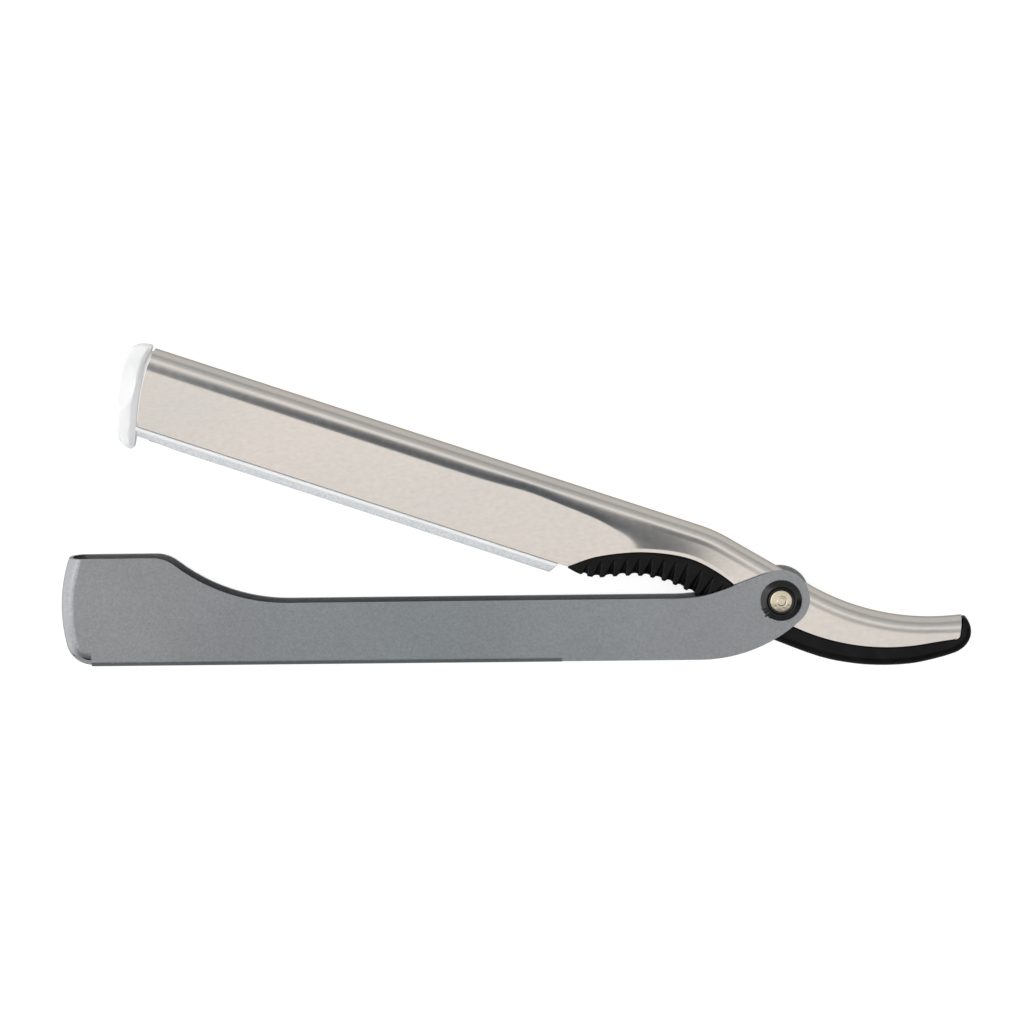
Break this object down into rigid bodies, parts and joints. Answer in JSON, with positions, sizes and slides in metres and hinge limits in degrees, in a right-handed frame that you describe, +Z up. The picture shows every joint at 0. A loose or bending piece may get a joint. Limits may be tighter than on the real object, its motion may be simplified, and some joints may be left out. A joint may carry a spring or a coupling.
{
  "type": "straight razor",
  "caption": "Folding straight razor with a sheet-steel handle, a rolled steel blade holder on a riveted pivot, a black finger rest and a white carrier for a replaceable blade.",
  "frame": {"origin": "centre of the footprint of the whole razor, as stored, on the surface that it lies on", "axes": "the razor lies on its side: +X along the handle from its folded end to the pivot and the tail, +Y from the handle's floor towards its open edge, +Z up through its thickness, out of the front side"},
  "size_m": [0.1554, 0.0572, 0.0077],
  "materials": {
    "handle_steel": "satin, bead-blasted",
    "collar_plastic": "gloss black",
    "washer_plastic": "matt black",
    "rivet_brass": "polished, pale",
    "holder_steel": "bright, polished",
    "insert_plastic": "gloss black",
    "inlay_plastic": "translucent white",
    "blade_steel": "ground"
  },
  "bodies": {
    "handle": {"handle_shell": "handle_steel", "outer_collar_front": "collar_plastic", "outer_collar_back": "collar_plastic", "inner_washer_front": "washer_plastic", "inner_washer_back": "washer_plastic", "pivot_rivet": "rivet_brass"},
    "arm": {"blade_holder": "holder_steel", "tang_insert": "insert_plastic", "blade_inlay": "inlay_plastic", "razor_blade": "blade_steel"}
  },
  "joints": [
    {"name": "pivot", "type": "hinge", "parent": "handle", "child": "arm", "pos_m": [0.04544, -0.01659, 0.0038], "axis": [0, 0, -1], "range_deg": [-18.2, 312]}
  ]
}
